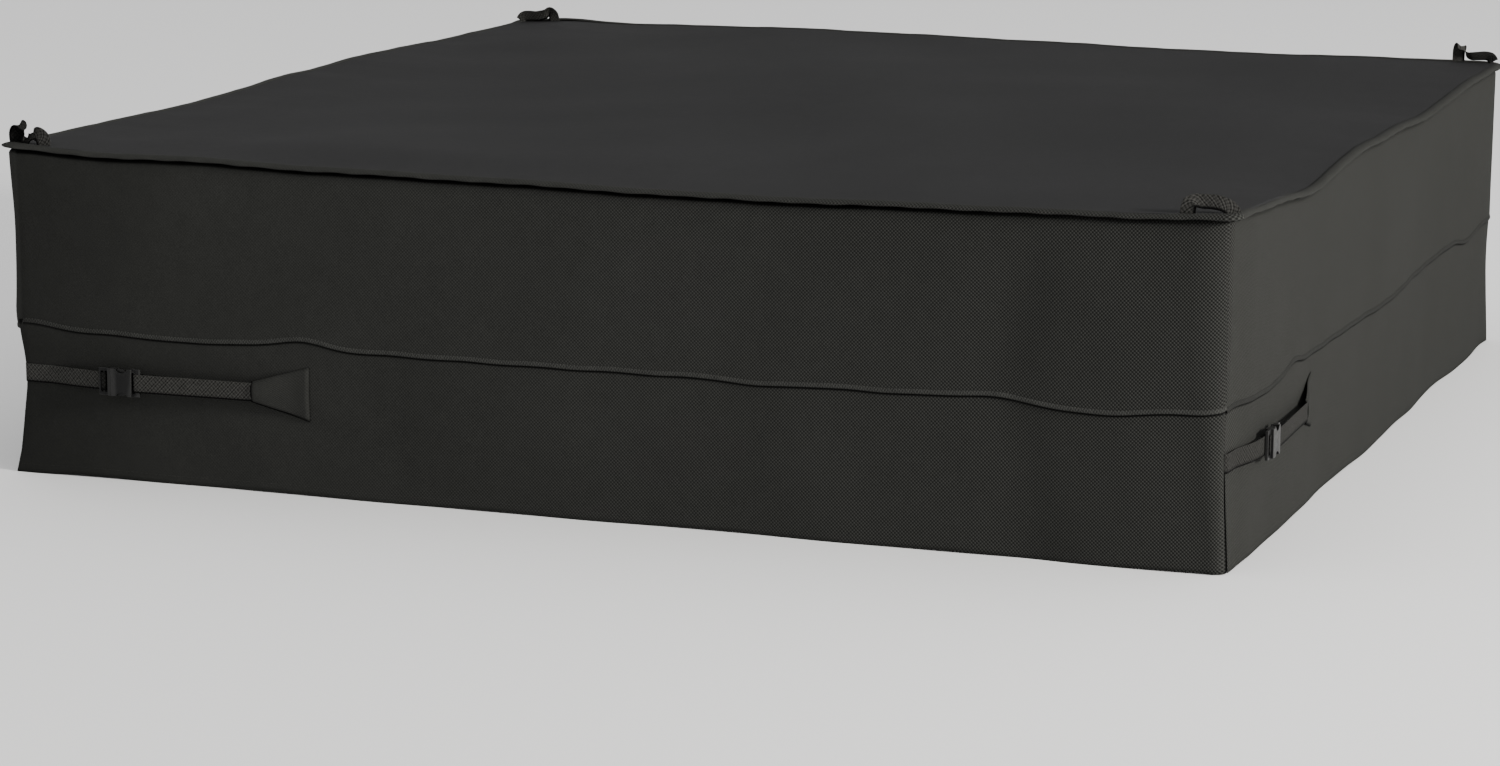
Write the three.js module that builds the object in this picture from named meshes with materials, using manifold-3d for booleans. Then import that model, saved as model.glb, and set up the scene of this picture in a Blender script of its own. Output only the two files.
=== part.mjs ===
// A square drape cover for a spa: a flat top, skirts in two tiers, and at each corner a cinch strap
// with a side-release buckle and a webbing handle. Millimetres, +Z up. The origin is the centre of
// the cover at the level of its hem. The front faces -Y.
import * as THREE from "three";
import { mergeVertices } from "three/addons/utils/BufferGeometryUtils.js";
import Module from "manifold-3d";

const wasm = await Module();
wasm.setup();

// The cloth shell
const SIDE = 2160;
const HALF = SIDE / 2;
const HEIGHT = 565;
const CORNER_RADIUS = 18;
const CLOTH = 2.2; // thickness of a coated cloth panel with its seam allowance
const GAP = 0.3; // clearance between pieces that touch
const ARC_STEPS = 6;
const SEAM_HEIGHT = 257; // level of the lapped seam between the two tiers
const SEAM_BAND = 9;
const SEAM_THICKNESS = 1.6;
const WELT_HEIGHT = 10;
const WELT_OVERHANG = 7;
const WELT_CORNER_RADIUS = 8;

// The slits and the cinch straps
const SLIT_WIDTH = 5;
const STRAP_HEIGHT = 176; // level of a strap's centre line
const WEBBING_WIDTH = 32;
const WEBBING = 1.6;
const SLIT_TOP = STRAP_HEIGHT + WEBBING_WIDTH / 2 + 2;
const PATCH_START = 462; // distances along a side, from its left-hand corner
const PATCH_LENGTH = 104;
const PATCH_SHORT_EDGE = 33;
const PATCH_LONG_EDGE = 94;

// The side-release buckles
const BUCKLE_START = 172;
const BUCKLE_LENGTH = 78;
const BUCKLE_WIDTH = 48;
const BUCKLE_THICKNESS = 14;
const BUCKLE_STANDOFF = 16; // from the skirt to the buckle's mid plane
const MALE_LENGTH = 24; // of the half that shows outside the socket
const SOCKET_WALL = 3;
const SOCKET_DEPTH = 35;
const SOCKET_THICKNESS = 9.6;
const BAR_THICKNESS = 5;
const END_BAR = 8.5;
const END_SLOT = 5.5;
const LADDER_BAR = 3.5;
const LADDER_SLOT = 4.5;
const LADDER_SLOT_WIDTH = 36;
const NOTCH_RADIUS = 13; // of the curved notches that bare the arms
const NOTCH_DEPTH = 7;
const NOTCH_CENTRE = 21.5; // from the socket's mouth
const SHOULDER = 5.5;
const TONGUE_LENGTH = 28;
const ARM_THICKNESS = 7;

// The corner handles
const HANDLE_LENGTH = 108;
const HANDLE_FOOT = 14;
const HANDLE_RISE = 22;
const HANDLE_SLOPE = 8; // length taken by each rising leg
const HANDLE_WIDTH = 25;
const HANDLE_FROM_CORNER = 6;
const HANDLE_INSET = 3; // from the skirt's face to the handle's sewn edge

const cloth = new THREE.MeshStandardMaterial({ color: 0x2c2c2b, roughness: 0.85, metalness: 0 });
const webbing = new THREE.MeshStandardMaterial({ color: 0x35332f, roughness: 0.9, metalness: 0 });
const plastic = new THREE.MeshStandardMaterial({ color: 0x1f1f1f, roughness: 0.4, metalness: 0 });

// Boolean helpers: manifold-3d joins and cuts closed three.js geometry.

function toSolid(geometry) {
  const bare = geometry.clone();
  bare.deleteAttribute("normal");
  bare.deleteAttribute("uv");
  const merged = mergeVertices(bare, 1e-4);
  const vertProperties = new Float32Array(merged.attributes.position.array);
  const triVerts = new Uint32Array(merged.index.array);
  return new wasm.Manifold(new wasm.Mesh({ numProp: 3, vertProperties, triVerts }));
}

function toGeometry(solid) {
  const mesh = solid.getMesh();
  const geometry = new THREE.BufferGeometry();
  geometry.setAttribute("position", new THREE.BufferAttribute(new Float32Array(mesh.vertProperties), 3));
  geometry.setIndex(new THREE.BufferAttribute(new Uint32Array(mesh.triVerts), 1));
  geometry.computeVertexNormals();
  return geometry;
}

function cutFrom(geometry, ...tools) {
  return toGeometry(tools.reduce((solid, tool) => solid.subtract(toSolid(tool)), toSolid(geometry)));
}

function joined(first, ...others) {
  return toGeometry(others.reduce((solid, other) => solid.add(toSolid(other)), toSolid(first)));
}

// Placing helpers. A side is built as the front one: "along" is measured from its left-hand corner
// and "out" from the skirt's outer face.

const atX = (along) => -HALF + along;
const atY = (out) => -HALF - out;

function block(along, out, level) {
  const size = [along, out, level].map(([low, high]) => high - low);
  const box = new THREE.BoxGeometry(...size);
  const middle = [along, out, level].map(([low, high]) => (low + high) / 2);
  return box.translate(atX(middle[0]), atY(middle[1]), middle[2]);
}

// An outline drawn in (along, level), as a plate lying between two distances out from the skirt.
function plate(outline, outLow, outHigh) {
  const geometry = new THREE.ExtrudeGeometry(outline, {
    depth: outHigh - outLow,
    bevelEnabled: false,
    curveSegments: ARC_STEPS,
  });
  return geometry.rotateX(Math.PI / 2).translate(-HALF, atY(outLow), 0);
}

// The closed outline of a ribbon that follows a line of points, with mitred bends.
function ribbonOutline(points, thickness) {
  const line = points.map(([x, y]) => new THREE.Vector2(x, y));
  const legs = line.slice(1).map((point, index) => point.clone().sub(line[index]).normalize());
  const offsets = line.map((point, index) => {
    const before = legs[Math.max(index - 1, 0)];
    const after = legs[Math.min(index, legs.length - 1)];
    const along = before.clone().add(after).normalize();
    const normal = new THREE.Vector2(-along.y, along.x);
    return normal.multiplyScalar(thickness / 2 / along.dot(after));
  });
  const left = line.map((point, index) => point.clone().add(offsets[index]));
  const right = line.map((point, index) => point.clone().sub(offsets[index]));
  return new THREE.Shape(left.concat(right.reverse()));
}

// The shell

// One side's wall in plan: the straight run and the rounded corner at its right-hand end.
function wallOutline(out, thickness) {
  const corner = HALF - CORNER_RADIUS;
  const start = -corner + GAP / 2;
  const gapAngle = GAP / 2 / CORNER_RADIUS;
  const outer = CORNER_RADIUS + out;
  const outline = new THREE.Shape();
  outline.moveTo(start, atY(out));
  outline.absarc(corner, -corner, outer, -Math.PI / 2, -gapAngle, false);
  outline.absarc(corner, -corner, outer - thickness, -gapAngle, -Math.PI / 2, true);
  outline.lineTo(start, atY(out - thickness));
  return outline;
}

function wall(out, thickness, bottom, top) {
  const geometry = new THREE.ExtrudeGeometry(wallOutline(out, thickness), {
    depth: top - bottom,
    bevelEnabled: false,
    curveSegments: ARC_STEPS,
  });
  return geometry.translate(0, 0, bottom);
}

function upperSkirt() {
  return wall(0, CLOTH, SEAM_HEIGHT + GAP / 2, HEIGHT);
}

function lowerSkirt() {
  const slit = block(
    [CORNER_RADIUS - 1, CORNER_RADIUS + SLIT_WIDTH],
    [-2 * CLOTH, CLOTH],
    [-1, SLIT_TOP],
  );
  return cutFrom(wall(0, CLOTH, 0, SEAM_HEIGHT - GAP / 2), slit);
}

function lapSeam() {
  const low = SEAM_HEIGHT - SEAM_BAND / 2;
  return wall(GAP + SEAM_THICKNESS, SEAM_THICKNESS, low, low + SEAM_BAND);
}

function roundedSquare(half, radius, Kind = THREE.Shape) {
  const outline = new Kind();
  const centre = half - radius;
  const corners = [[1, -1], [1, 1], [-1, 1], [-1, -1]];
  corners.forEach(([x, y], index) => {
    const start = (index - 1) * Math.PI / 2;
    outline.absarc(x * centre, y * centre, radius, start, start + Math.PI / 2, false);
  });
  outline.closePath();
  return outline;
}

function slab(outline, bottom, top) {
  const settings = { depth: top - bottom, bevelEnabled: false, curveSegments: ARC_STEPS };
  return new THREE.ExtrudeGeometry(outline, settings).translate(0, 0, bottom);
}

function topPanel() {
  const inset = CLOTH + GAP;
  return slab(roundedSquare(HALF - inset, CORNER_RADIUS - inset), HEIGHT - CLOTH, HEIGHT);
}

function topWelt() {
  const outline = roundedSquare(HALF + WELT_OVERHANG, WELT_CORNER_RADIUS);
  outline.holes.push(roundedSquare(HALF + GAP, CORNER_RADIUS + GAP, THREE.Path));
  return slab(outline, HEIGHT - WELT_HEIGHT, HEIGHT);
}

// The straps

// A strap standing on edge, along a line of (along, out) points.
function strap(points) {
  const inPlan = points.map(([along, out]) => [atX(along), atY(out)]);
  const low = STRAP_HEIGHT - WEBBING_WIDTH / 2;
  return slab(ribbonOutline(inPlan, WEBBING), low, low + WEBBING_WIDTH);
}

const LAYER = BAR_THICKNESS / 2 + GAP + WEBBING / 2 + 0.1; // from a bar's mid plane to the strap on it

// Sewn inside the rounded corner, out through the slit, along to the ladder and woven through it.
function cornerStrap() {
  const radius = CORNER_RADIUS - CLOTH - GAP - WEBBING / 2;
  const inside = [];
  for (let degrees = 186; degrees <= 270; degrees += 14) {
    const angle = THREE.MathUtils.degToRad(degrees);
    inside.push([
      CORNER_RADIUS + radius * Math.cos(angle),
      -CORNER_RADIUS - radius * Math.sin(angle),
    ]);
  }
  const slit = CORNER_RADIUS + SLIT_WIDTH / 2;
  const firstSlot = BUCKLE_START + LADDER_BAR + LADDER_SLOT / 2;
  const secondSlot = firstSlot + LADDER_SLOT + LADDER_BAR;
  const behind = BUCKLE_STANDOFF - LAYER - 0.5;
  const outside = [
    [slit, radius - CORNER_RADIUS],
    [slit, WEBBING],
    [64, 2.4],
    [118, 8],
    [158, behind],
    [firstSlot, behind],
    [firstSlot, BUCKLE_STANDOFF + LAYER],
    [secondSlot, BUCKLE_STANDOFF + LAYER],
    [secondSlot, behind - 2.6],
    [BUCKLE_START - 4, behind - 2.6],
  ];
  return strap(inside.concat(outside));
}

// From the patch to the buckle's end bar, round the bar and back under itself.
function patchStrap() {
  const buckleEnd = BUCKLE_START + BUCKLE_LENGTH;
  const slot = buckleEnd - END_BAR - WEBBING / 2 - GAP - 0.4;
  return strap([
    [PATCH_START - GAP, WEBBING / 2 + GAP],
    [432, 3.2],
    [362, 11],
    [302, 16.8],
    [262, 19],
    [buckleEnd, BUCKLE_STANDOFF + LAYER],
    [slot, BUCKLE_STANDOFF + LAYER],
    [slot, BUCKLE_STANDOFF - LAYER],
    [buckleEnd, BUCKLE_STANDOFF - LAYER],
    [262, 15],
    [300, 14.2],
  ]);
}

function strapPatch() {
  const end = PATCH_START + PATCH_LENGTH;
  const outline = new THREE.Shape([
    new THREE.Vector2(PATCH_START, STRAP_HEIGHT - PATCH_SHORT_EDGE / 2),
    new THREE.Vector2(end, STRAP_HEIGHT - PATCH_LONG_EDGE / 2),
    new THREE.Vector2(end, STRAP_HEIGHT + PATCH_LONG_EDGE / 2),
    new THREE.Vector2(PATCH_START, STRAP_HEIGHT + PATCH_SHORT_EDGE / 2),
  ]);
  return plate(outline, GAP, GAP + WEBBING);
}

// The buckles

function aroundMid(half, middle) {
  return [middle - half, middle + half];
}

function buckleSlot(along, width) {
  return block(along, aroundMid(BUCKLE_THICKNESS, BUCKLE_STANDOFF), aroundMid(width / 2, STRAP_HEIGHT));
}

const MOUTH = BUCKLE_START + MALE_LENGTH; // where the socket half begins

// The curved notch at the socket's upper (1) or lower (-1) edge, through which an arm is pressed.
function buckleNotch(upDown) {
  const segments = 6 * ARC_STEPS;
  const length = 2 * BUCKLE_THICKNESS;
  const cutter = new THREE.CylinderGeometry(NOTCH_RADIUS, NOTCH_RADIUS, length, segments);
  const level = STRAP_HEIGHT + upDown * (BUCKLE_WIDTH / 2 + NOTCH_RADIUS - NOTCH_DEPTH);
  return cutter.translate(atX(MOUTH + NOTCH_CENTRE), atY(BUCKLE_STANDOFF), level);
}

function buckleSocket() {
  const start = MOUTH + GAP;
  const end = BUCKLE_START + BUCKLE_LENGTH;
  const barStart = end - END_BAR;
  const level = aroundMid(BUCKLE_WIDTH / 2, STRAP_HEIGHT);
  const body = block([start, barStart - END_SLOT], aroundMid(BUCKLE_THICKNESS / 2, BUCKLE_STANDOFF), level);
  const frame = block(
    [barStart - END_SLOT - 1, end],
    aroundMid(BAR_THICKNESS / 2, BUCKLE_STANDOFF),
    level,
  );
  const cavity = block(
    [start - 1, MOUTH + SOCKET_DEPTH],
    aroundMid(SOCKET_THICKNESS / 2, BUCKLE_STANDOFF),
    aroundMid(BUCKLE_WIDTH / 2 - SOCKET_WALL, STRAP_HEIGHT),
  );
  const windows = block(
    [MOUTH + 10.5, MOUTH + 32.5],
    aroundMid(SOCKET_THICKNESS / 2, BUCKLE_STANDOFF),
    aroundMid(BUCKLE_WIDTH, STRAP_HEIGHT),
  );
  const slot = buckleSlot([barStart - END_SLOT, barStart], LADDER_SLOT_WIDTH);
  return cutFrom(joined(body, frame), cavity, windows, slot, buckleNotch(1), buckleNotch(-1));
}

// The half that pulls out: a ladder for the strap, a shoulder and the middle tongue.
function buckleInsert() {
  const level = aroundMid(BUCKLE_WIDTH / 2, STRAP_HEIGHT);
  const ladder = block([BUCKLE_START, MOUTH - 1], aroundMid(BAR_THICKNESS / 2, BUCKLE_STANDOFF), level);
  const shoulder = block([MOUTH - SHOULDER, MOUTH], aroundMid(BUCKLE_THICKNESS / 2, BUCKLE_STANDOFF), level);
  const tongue = block(
    [MOUTH - 1, MOUTH + TONGUE_LENGTH],
    aroundMid(BAR_THICKNESS / 2, BUCKLE_STANDOFF),
    aroundMid(3.5, STRAP_HEIGHT),
  );
  const firstSlot = BUCKLE_START + LADDER_BAR;
  const secondSlot = firstSlot + LADDER_SLOT + LADDER_BAR;
  return cutFrom(
    joined(ladder, shoulder, tongue),
    buckleSlot([firstSlot, firstSlot + LADDER_SLOT], LADDER_SLOT_WIDTH),
    buckleSlot([secondSlot, secondSlot + LADDER_SLOT], LADDER_SLOT_WIDTH),
  );
}

// One of the two springy arms. Its shoulder fills the window in the socket's edge.
function buckleArm(upDown) {
  const root = MOUTH + GAP;
  const line = [
    [root, 13.5],
    [root, 18.5],
    [root + 9.5, 18.5],
    [root + 11.5, 22.4],
    [root + 17, 23.6],
    [root + 24, 22.8],
    [root + 30, 18.5],
    [root + 31, 15.5],
    [root + 25, 14],
    [root + 10, 13.5],
  ];
  const points = line.map(([along, level]) => new THREE.Vector2(along, STRAP_HEIGHT + upDown * level));
  return plate(
    new THREE.Shape(points),
    BUCKLE_STANDOFF - ARM_THICKNESS / 2,
    BUCKLE_STANDOFF + ARM_THICKNESS / 2,
  );
}

// The handles

function handle() {
  const middle = HANDLE_LENGTH / 2;
  const low = HEIGHT + 2 * GAP + WEBBING / 2;
  const leg = middle - HANDLE_FOOT;
  const line = [
    [-middle, low],
    [-leg, low],
    [-leg + HANDLE_SLOPE, low + HANDLE_RISE * 0.85],
    [0, low + HANDLE_RISE],
    [leg - HANDLE_SLOPE, low + HANDLE_RISE * 0.85],
    [leg, low],
    [middle, low],
  ];
  const geometry = new THREE.ExtrudeGeometry(ribbonOutline(line, WEBBING), {
    depth: HANDLE_WIDTH,
    bevelEnabled: false,
  });
  return geometry.rotateX(Math.PI / 2).translate(0, HANDLE_WIDTH, 0);
}

// The assembly

const cover = new THREE.Group();

function add(parent, name, geometry, material) {
  const mesh = new THREE.Mesh(geometry, material);
  mesh.name = name;
  parent.add(mesh);
  return mesh;
}

add(cover, "top_panel", topPanel(), cloth);
add(cover, "top_welt", topWelt(), cloth);

["front", "right", "back", "left"].forEach((side, turn) => {
  const group = new THREE.Group();
  group.rotation.z = turn * Math.PI / 2;
  add(group, `upper_skirt_${side}`, upperSkirt(), cloth);
  add(group, `lower_skirt_${side}`, lowerSkirt(), cloth);
  add(group, `lap_seam_${side}`, lapSeam(), cloth);
  add(group, `strap_patch_${side}`, strapPatch(), cloth);
  add(group, `corner_strap_${side}`, cornerStrap(), webbing);
  add(group, `patch_strap_${side}`, patchStrap(), webbing);
  add(group, `buckle_socket_${side}`, buckleSocket(), plastic);
  add(group, `buckle_insert_${side}`, buckleInsert(), plastic);
  add(group, `buckle_arm_upper_${side}`, buckleArm(1), plastic);
  add(group, `buckle_arm_lower_${side}`, buckleArm(-1), plastic);
  cover.add(group);
});

[["front", -1, -1], ["front", 1, -1], ["back", 1, 1], ["back", -1, 1]].forEach(([edge, x, y]) => {
  const mesh = add(cover, `handle_${edge}_${x < 0 ? "left" : "right"}`, handle(), webbing);
  const fromMiddle = HALF - HANDLE_FROM_CORNER - HANDLE_LENGTH / 2;
  mesh.position.set(x * fromMiddle, y * (HALF - HANDLE_INSET), 0);
  mesh.rotation.z = y < 0 ? 0 : Math.PI;
});

export default cover;
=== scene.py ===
import math

import bmesh
import bpy
import numpy as np
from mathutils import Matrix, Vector


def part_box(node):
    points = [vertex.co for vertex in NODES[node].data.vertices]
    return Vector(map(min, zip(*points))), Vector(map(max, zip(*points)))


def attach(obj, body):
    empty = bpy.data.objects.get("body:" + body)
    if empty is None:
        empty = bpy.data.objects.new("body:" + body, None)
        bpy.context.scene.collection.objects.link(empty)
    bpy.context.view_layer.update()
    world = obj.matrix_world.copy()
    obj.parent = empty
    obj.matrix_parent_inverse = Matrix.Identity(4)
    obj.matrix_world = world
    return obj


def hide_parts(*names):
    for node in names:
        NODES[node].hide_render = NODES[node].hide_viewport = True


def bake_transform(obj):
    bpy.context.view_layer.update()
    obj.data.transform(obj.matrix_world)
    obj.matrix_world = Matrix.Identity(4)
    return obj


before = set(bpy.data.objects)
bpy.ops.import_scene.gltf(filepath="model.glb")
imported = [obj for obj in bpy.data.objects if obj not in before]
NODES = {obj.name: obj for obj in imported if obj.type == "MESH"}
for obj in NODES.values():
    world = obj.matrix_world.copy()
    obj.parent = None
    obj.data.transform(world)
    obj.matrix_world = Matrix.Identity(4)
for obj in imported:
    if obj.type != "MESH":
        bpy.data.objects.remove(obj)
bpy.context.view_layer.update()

SIDES = ["front", "right", "back", "left"]
MM = 0.001

# ---------------------------------------------------------------- sizes read from the frame

HALF = -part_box("upper_skirt_front")[0].y
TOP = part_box("upper_skirt_front")[1].z
CORNER_RADIUS = 18 * MM
SEAM = sum(corner.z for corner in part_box("lap_seam_front")) / 2
STRAP = sum(corner.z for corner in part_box("patch_strap_front")) / 2
STRAP_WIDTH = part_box("patch_strap_front")[1].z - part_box("patch_strap_front")[0].z
PATCH_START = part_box("strap_patch_front")[0].x + HALF
PATCH_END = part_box("strap_patch_front")[1].x + HALF
PATCH_HALF_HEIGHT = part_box("strap_patch_front")[1].z - STRAP
SOCKET_LOW, SOCKET_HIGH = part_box("buckle_socket_front")
INSERT_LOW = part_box("buckle_insert_front")[0]
BUCKLE_OUT = -HALF - (SOCKET_LOW.y + SOCKET_HIGH.y) / 2
SLIT_WIDTH = 5 * MM
SLIT_TOP = STRAP + STRAP_WIDTH / 2 + 2 * MM
WEBBING = 1.7 * MM
CLOTH = 1.1 * MM
TIGHTEST_BEND = 1.5 * MM  # the least radius that the cloth goes round a corner with

STRAIGHT = 2 * (HALF - CORNER_RADIUS)
ARC = CORNER_RADIUS * math.pi / 2
SIDE_RUN = STRAIGHT + ARC  # the perimeter that belongs to one side

# ---------------------------------------------------------------- camera

CAMERA_TARGET = Vector((0.366, -1.301, 0.300))
CAMERA_DISTANCE = 6.360
CAMERA_AZIMUTH = math.radians(20.79)
CAMERA_ELEVATION = math.radians(11.28)
CAMERA_LENS = 97.9  # on a 36 mm sensor


def make_camera():
    back = Vector((
        math.sin(CAMERA_AZIMUTH) * math.cos(CAMERA_ELEVATION),
        -math.cos(CAMERA_AZIMUTH) * math.cos(CAMERA_ELEVATION),
        math.sin(CAMERA_ELEVATION),
    ))
    data = bpy.data.cameras.new("camera")
    data.lens = CAMERA_LENS
    data.sensor_width = 36
    data.clip_end = 100
    camera = bpy.data.objects.new("camera", data)
    camera.location = CAMERA_TARGET + back * CAMERA_DISTANCE
    camera.rotation_euler = back.to_track_quat("Z", "Y").to_euler()
    bpy.context.scene.collection.objects.link(camera)
    bpy.context.scene.camera = camera


make_camera()

# ---------------------------------------------------------------- shader helpers


class Shader:
    """A small builder for a node material."""

    def __init__(self, name):
        self.material = bpy.data.materials.new(name)
        self.material.use_nodes = True
        self.tree = self.material.node_tree
        self.bsdf = self.tree.nodes["Principled BSDF"]

    def node(self, kind, **inputs):
        node = self.tree.nodes.new(kind)
        for key, value in inputs.items():
            self.put(node.inputs[key.replace("_", " ")], value)
        return node

    def put(self, socket, value):
        if isinstance(value, bpy.types.NodeSocket):
            self.tree.links.new(value, socket)
        else:
            socket.default_value = value

    def math(self, operation, a, b=0.0, c=0.0):
        node = self.tree.nodes.new("ShaderNodeMath")
        node.operation = operation
        for socket, value in zip(node.inputs, (a, b, c)):
            self.put(socket, value)
        return node.outputs[0]

    def coordinates(self, source="UV"):
        return self.tree.nodes.new("ShaderNodeTexCoord").outputs[source]

    def split(self, vector):
        node = self.node("ShaderNodeSeparateXYZ", Vector=vector)
        return node.outputs[0], node.outputs[1], node.outputs[2]

    def noise(self, vector, scale, detail=3.0, roughness=0.55):
        node = self.tree.nodes.new("ShaderNodeTexNoise")
        self.put(node.inputs["Vector"], vector)
        node.inputs["Scale"].default_value = scale
        node.inputs["Detail"].default_value = detail
        node.inputs["Roughness"].default_value = roughness
        return node.outputs[0]

    def range(self, value, low, high, out_low, out_high):
        node = self.tree.nodes.new("ShaderNodeMapRange")
        for socket, number in zip(node.inputs, (value, low, high, out_low, out_high)):
            self.put(socket, number)
        return node.outputs[0]

    def varied(self, factor, noise, low, high, amount):
        """The factor, lowered or raised by up to an amount as the noise goes from low to high."""
        return self.math("ADD", factor, self.range(noise, low, high, -amount, amount))

    def colour(self, factor, low, high):
        node = self.tree.nodes.new("ShaderNodeMix")
        node.data_type = "RGBA"
        self.put(node.inputs[0], factor)
        for socket, value in ((node.inputs[6], low), (node.inputs[7], high)):
            self.put(socket, value if isinstance(value, bpy.types.NodeSocket) else (*value, 1))
        return node.outputs[2]

    def shaded(self, colour):
        """The colour, with painted shade mixed in as far as the mesh's shade attribute says."""
        attribute = self.tree.nodes.new("ShaderNodeAttribute")
        attribute.attribute_name = "shade"
        return self.colour(attribute.outputs["Fac"], colour, PAINTED_SHADE_COLOUR)

    def bump(self, height, distance, strength=1.0, normal=None):
        node = self.tree.nodes.new("ShaderNodeBump")
        self.put(node.inputs["Height"], height)
        node.inputs["Distance"].default_value = distance
        node.inputs["Strength"].default_value = strength
        if normal is not None:
            self.put(node.inputs["Normal"], normal)
        return node.outputs[0]

    def surface(self, **inputs):
        for key, value in inputs.items():
            self.put(self.bsdf.inputs[key.replace("_", " ")], value)
        return self.material


def weave_height(shader, u, v, period):
    """A plain weave: u and v are metres along the cloth, and the result runs from -1 to 1."""
    turn = 2 * math.pi / period
    warp = shader.math("SINE", shader.math("MULTIPLY", u, turn))
    weft = shader.math("SINE", shader.math("MULTIPLY", v, turn))
    return shader.math("MULTIPLY", warp, weft)


def stitch_line(shader, along, across, centre, stitch=4.5 * MM, width=0.8 * MM):
    """1 on the thread of a line of stitches that runs along the cloth at a distance across it."""
    near = shader.math("COMPARE", across, centre, width)
    dash = shader.math("LESS_THAN", shader.math("PINGPONG", along, stitch), stitch * 0.72)
    return shader.math("MULTIPLY", near, dash)


# Colours are linear, the low one for a weave's hollows and the high one for its crowns.
CLOTH_DARK = (0.0096, 0.0098, 0.0091)
CLOTH_LIGHT = (0.0308, 0.0312, 0.0290)
# Painted shade: the top's copy of the cloth is a touch darker and cooler, for how the light falls on it.
TOP_SHADE_TINT = (0.98, 0.97, 1.07)
# Painted light: the welt's copy of the cloth is painted lighter, for the light on its raised crest.
WELT_LIT_TINT = (1.1, 1.1, 1.1)
# The seam's colours are paler than the cloth's: painted light on the band's raised upper edge.
SEAM_DARK = (0.0092, 0.0094, 0.0088)
SEAM_LIGHT = (0.0400, 0.0405, 0.0378)
WEBBING_DARK = (0.0048, 0.0048, 0.0044)
WEBBING_LIGHT = (0.0480, 0.0473, 0.0440)
PLASTIC_DARK = (0.0020, 0.0020, 0.0022)
# paler colour for scuffs, and for edges, where it is partly edge wear and partly painted highlight
PLASTIC_WORN_AND_LIT = (0.0300, 0.0300, 0.0294)
PAINTED_SHADE_COLOUR = (0.0008, 0.0008, 0.0008)  # the near-black painted shade that the shade attribute mixes in
WEAVE_PERIOD = 6.0 * MM
HEM_STITCHES = 14 * MM  # up from the hem
SEAM_THREADS = 4.2 * MM
WEBBING_CROSS = 7.6 * MM
WEBBING_RIB = 5.2 * MM
WEBBING_PICK = 1.7 * MM
RELIEF = (-0.8, 1.08, 0.1, 2.4)  # the weave lies flatter towards -X: places, then strengths


def cloth_material(name, stitches=(), tint=(1.0, 1.0, 1.0), weave_bump=0.35 * MM):
    """Coated Oxford cloth. stitches are levels of stitch lines in the V coordinate."""
    shader = Shader(name)
    u, v, _ = shader.split(shader.coordinates())
    place = shader.coordinates("Object")
    relief = shader.range(shader.split(place)[0], *RELIEF)
    weave = shader.math("MULTIPLY", weave_height(shader, u, v, WEAVE_PERIOD), relief)
    slub = shader.noise(place, 420.0, 2.0)
    patches = shader.noise(place, 2.3, 4.0)
    wear = shader.noise(place, 34.0, 5.0, 0.7)
    factor = shader.range(weave, -1.6, 1.6, -0.1, 1.14)
    factor = shader.varied(factor, slub, 0.3, 0.7, 0.12)
    factor = shader.varied(factor, patches, 0.3, 0.7, 0.06)
    factor = shader.varied(factor, wear, 0.35, 0.65, 0.04)
    height = weave
    for level in stitches:
        thread = stitch_line(shader, u, v, level)
        factor = shader.math("ADD", factor, shader.math("MULTIPLY", thread, 0.25))
        height = shader.math("ADD", height, shader.math("MULTIPLY", thread, 1.5))
    dark = tuple(a * b for a, b in zip(CLOTH_DARK, tint))
    light = tuple(a * b for a, b in zip(CLOTH_LIGHT, tint))
    crinkle = shader.noise(place, 55.0, 3.0, 0.5)
    normal = shader.bump(crinkle, 0.8 * MM, 0.4)
    normal = shader.bump(height, weave_bump, 1.0, normal)
    return shader.surface(
        Base_Color=shader.shaded(shader.colour(factor, dark, light)),
        Roughness=shader.range(weave, -1.0, 1.0, 0.95, 0.85),
        Specular_IOR_Level=0.04,
        Normal=normal,
    )


def seam_material(name, across_period):
    """Cloth folded and overstitched, with short threads that run across the seam."""
    shader = Shader(name)
    u, v, _ = shader.split(shader.coordinates())
    place = shader.coordinates("Object")
    turn = 2 * math.pi / across_period
    jitter = shader.math("MULTIPLY", shader.noise(place, 160.0, 2.0), 3.5)
    slant = shader.math("MULTIPLY", v, turn * 0.35)
    phase = shader.math("ADD", shader.math("MULTIPLY", u, turn), slant)
    threads = shader.math("SINE", shader.math("ADD", phase, jitter))
    weave = weave_height(shader, u, v, WEAVE_PERIOD)
    height = shader.math("ADD", weave, shader.math("MULTIPLY", threads, 0.5))
    factor = shader.range(height, -1.5, 1.5, 0.25, 0.95)
    factor = shader.varied(factor, shader.noise(place, 60.0, 3.0), 0.3, 0.7, 0.1)
    colour = shader.colour(factor, SEAM_DARK, SEAM_LIGHT)
    return shader.surface(
        Base_Color=shader.shaded(colour),
        Roughness=0.9,
        Specular_IOR_Level=0.05,
        Normal=shader.bump(height, 0.4 * MM, 0.8),
    )


def webbing_material(name):
    """Woven webbing: slanting ribs with a plain selvedge. U is metres along, V metres across."""
    shader = Shader(name)
    u, v, _ = shader.split(shader.coordinates())
    place = shader.coordinates("Object")
    turn = 2 * math.pi / WEBBING_RIB
    cross = weave_height(shader, u, v, WEBBING_CROSS)
    ribs = shader.math("SINE", shader.math("MULTIPLY", shader.math("ADD", u, v), turn))
    picks = shader.math("SINE", shader.math("MULTIPLY", u, 2 * math.pi / WEBBING_PICK))
    height = shader.math("ADD", cross, shader.math("MULTIPLY", picks, 0.3))
    height = shader.math("ADD", height, shader.math("MULTIPLY", ribs, 0.5))
    factor = shader.range(height, -1.4, 1.4, 0.0, 1.0)
    factor = shader.varied(factor, shader.noise(place, 260.0, 3.0), 0.3, 0.7, 0.18)
    colour = shader.colour(factor, WEBBING_DARK, WEBBING_LIGHT)
    return shader.surface(
        Base_Color=shader.shaded(colour),
        Roughness=0.85,
        Specular_IOR_Level=0.06,
        Normal=shader.bump(height, 0.35 * MM, 0.9),
    )


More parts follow.
